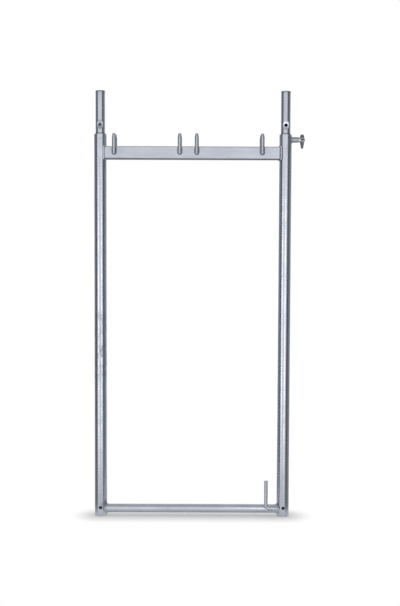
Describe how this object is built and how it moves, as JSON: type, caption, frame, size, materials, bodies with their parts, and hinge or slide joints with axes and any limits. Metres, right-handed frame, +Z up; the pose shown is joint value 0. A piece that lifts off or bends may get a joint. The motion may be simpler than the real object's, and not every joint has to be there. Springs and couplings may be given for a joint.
{
  "type": "scaffold frame",
  "caption": "Welded steel scaffold frame: round standards with spigots, rectangular transom with deck pins, bottom rail, toe-board pin and a guardrail stud with a tilting finger.",
  "frame": {"origin": "foot of the inner standard, on its axis", "axes": "+X to the outer standard, +Y to the back, +Z up along the standards"},
  "size_m": [0.8182, 0.071, 1.667],
  "materials": {
    "galvanised_steel": "hot-dip galvanised",
    "galvanised_weld": "rippled weld bead, hot-dip galvanised",
    "dark_steel": "dark oiled"
  },
  "bodies": {
    "frame": {"inner_standard": "galvanised_steel", "outer_standard": "galvanised_steel", "inner_spigot": "galvanised_steel", "outer_spigot": "galvanised_steel", "transom": "galvanised_steel", "bottom_rail": "galvanised_steel", "toe_board_pin": "galvanised_steel", "guardrail_stud": "galvanised_steel", "finger_rivet": "galvanised_steel", "deck_pin_front_1": "galvanised_steel", "deck_pin_front_2": "galvanised_steel", "deck_pin_front_3": "galvanised_steel", "deck_pin_front_4": "galvanised_steel", "deck_pin_back_1": "galvanised_steel", "deck_pin_back_2": "galvanised_steel", "deck_pin_back_3": "galvanised_steel", "deck_pin_back_4": "galvanised_steel", "transom_weld_inner": "galvanised_weld", "transom_weld_outer": "galvanised_weld", "rail_weld_inner": "galvanised_weld", "rail_weld_outer": "galvanised_weld", "stud_weld": "galvanised_weld", "toe_pin_weld_upper": "galvanised_weld", "toe_pin_weld_lower": "galvanised_weld", "deck_pin_weld_front_1": "galvanised_weld", "deck_pin_weld_front_2": "galvanised_weld", "deck_pin_weld_front_3": "galvanised_weld", "deck_pin_weld_front_4": "galvanised_weld", "deck_pin_weld_back_1": "galvanised_weld", "deck_pin_weld_back_2": "galvanised_weld", "deck_pin_weld_back_3": "galvanised_weld", "deck_pin_weld_back_4": "galvanised_weld"},
    "finger": {"tilting_finger": "dark_steel"}
  },
  "joints": [
    {"name": "finger_tilt", "type": "hinge", "parent": "frame", "child": "finger", "pos_m": [0.784, 0, 1.48], "axis": [0, -1, 0], "range_deg": [-50, 230]}
  ]
}
